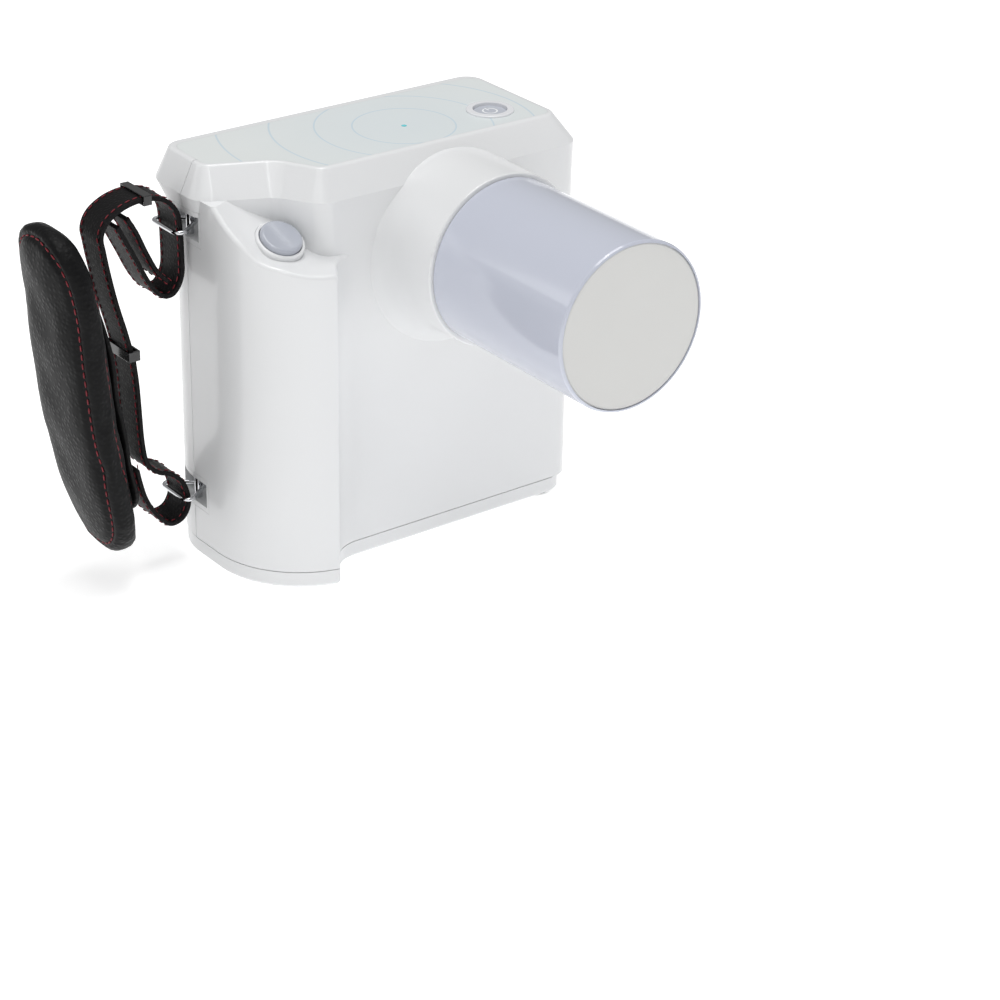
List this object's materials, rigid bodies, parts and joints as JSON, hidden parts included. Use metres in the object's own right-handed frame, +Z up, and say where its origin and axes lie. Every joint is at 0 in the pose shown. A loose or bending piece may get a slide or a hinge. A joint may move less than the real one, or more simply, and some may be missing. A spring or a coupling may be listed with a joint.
{
  "type": "handheld intraoral x-ray unit",
  "caption": "Handheld dental X-ray source: moulded grip body with round beam cone, finger trigger, top power button, rear panel and leather hand strap.",
  "frame": {"origin": "centre of the tripod bush's mouth, on the plane the unit stands on", "axes": "+Z up, -Y out of the cone, -X towards the grip and hand strap"},
  "size_m": [0.2037, 0.1608, 0.1521],
  "materials": {
    "aluminium": "satin",
    "anode_copper": "bare copper",
    "backing_black": "woven lining",
    "black_plastic": "matte moulded plastic",
    "bush_brass": "turned",
    "button_grey": "glossy moulded plastic",
    "casing_white": "satin gloss moulded plastic",
    "cathode_nickel": "nickel",
    "cell_wrap": "blue shrink wrap",
    "coil_tape": "yellow insulating tape",
    "cone_blue_grey": "glossy moulded plastic",
    "display_black": "matte",
    "display_glass": "smoked acrylic",
    "end_disc_grey": "matte plastic",
    "ferrite": "ferrite grey",
    "foot_rubber": "matte",
    "gasket_rubber": "nitrile rubber",
    "keeper_black": "glossy",
    "key_grey": "silicone rubber",
    "label_grey": "printed polyester overlay, satin",
    "lead": "dull grey lead",
    "leather_black": "pebble-grained leather",
    "led_teal": "clear light pipe, teal when lit",
    "pack_plastic": "matte moulded plastic",
    "pcb_green": "solder mask green",
    "ring_chrome": "polished",
    "ring_white": "glossy moulded plastic",
    "screw_steel": "zinc plated",
    "shelf_steel": "zinc plated",
    "spacer_brass": "nickelled brass",
    "tank_steel": "sealed grey",
    "trigger_grey": "glossy moulded plastic",
    "tube_glass": "clear borosilicate",
    "webbing_black": "leather-faced strap, red stitched edges",
    "window_polymer": "translucent amber polymer"
  },
  "bodies": {
    "housing": {"back_shell": "casing_white", "base_cover": "casing_white", "base_screws": "screw_steel", "battery_cap": "pack_plastic", "battery_cells": "cell_wrap", "battery_tray": "pack_plastic", "beam_filter": "aluminium", "board_spacers": "spacer_brass", "buzzer": "black_plastic", "charge_socket": "black_plastic", "collimator": "lead", "cone_end_disc": "end_disc_grey", "cone_retainer": "aluminium", "cone_tube": "cone_blue_grey", "control_board": "pcb_green", "display_module": "display_black", "display_window": "display_glass", "front_shell": "casing_white", "hv_coil": "coil_tape", "hv_core": "ferrite", "hv_multiplier_board": "pcb_green", "inverter_board": "pcb_green", "keypad_board": "pcb_green", "power_button_ring": "ring_white", "retainer_screws": "screw_steel", "rubber_feet": "foot_rubber", "shell_screws": "screw_steel", "status_light": "led_teal", "strap_anchor_lower": "casing_white", "strap_anchor_upper": "casing_white", "strap_bars": "ring_chrome", "tank_gasket": "gasket_rubber", "tank_lid": "tank_steel", "tank_screws": "screw_steel", "tank_shelf": "shelf_steel", "tank_window": "window_polymer", "top_board": "pcb_green", "top_label": "label_grey", "trigger_bezel": "casing_white", "trigger_switch": "black_plastic", "tripod_bush": "bush_brass", "tube_anode": "anode_copper", "tube_cathode": "cathode_nickel", "tube_glass": "tube_glass", "tube_tank": "tank_steel"},
    "trigger": {"exposure_trigger": "trigger_grey"},
    "power_button": {"power_button": "button_grey"},
    "time_up": {"time_up_key": "key_grey"},
    "time_down": {"time_down_key": "key_grey"},
    "mode": {"mode_key": "key_grey"},
    "memory": {"memory_key": "key_grey"},
    "hand_strap": {"strap_ring_upper": "ring_chrome", "strap_ring_lower": "ring_chrome", "strap_pad": "leather_black", "strap_backing": "backing_black", "strap_web_upper": "webbing_black", "strap_tail": "webbing_black", "strap_web_lower": "webbing_black", "strap_keeper": "keeper_black", "strap_slider": "keeper_black"}
  },
  "joints": [
    {"name": "trigger_press", "type": "slide", "parent": "housing", "child": "trigger", "axis": [-0.06, 0.46, -0.8859], "range_m": [0, 0.0016], "stiffness_N_per_m": 900, "springref_m": -0.0008},
    {"name": "power_press", "type": "slide", "parent": "housing", "child": "power_button", "axis": [0, 0, -1], "range_m": [0, 0.001], "stiffness_N_per_m": 1200, "springref_m": -0.0005},
    {"name": "time_up_press", "type": "slide", "parent": "housing", "child": "time_up", "axis": [0, -1, 0], "range_m": [0, 0.0006], "stiffness_N_per_m": 1500, "springref_m": -0.0003},
    {"name": "time_down_press", "type": "slide", "parent": "housing", "child": "time_down", "axis": [0, -1, 0], "range_m": [0, 0.0006], "stiffness_N_per_m": 1500, "springref_m": -0.0003},
    {"name": "mode_press", "type": "slide", "parent": "housing", "child": "mode", "axis": [0, -1, 0], "range_m": [0, 0.0006], "stiffness_N_per_m": 1500, "springref_m": -0.0003},
    {"name": "memory_press", "type": "slide", "parent": "housing", "child": "memory", "axis": [0, -1, 0], "range_m": [0, 0.0006], "stiffness_N_per_m": 1500, "springref_m": -0.0003},
    {"name": "strap_swing", "type": "hinge", "parent": "housing", "child": "hand_strap", "pos_m": [-0.07, 0.007, 0.129], "axis": [0, 0, 1], "range_deg": [-15, 15]}
  ]
}
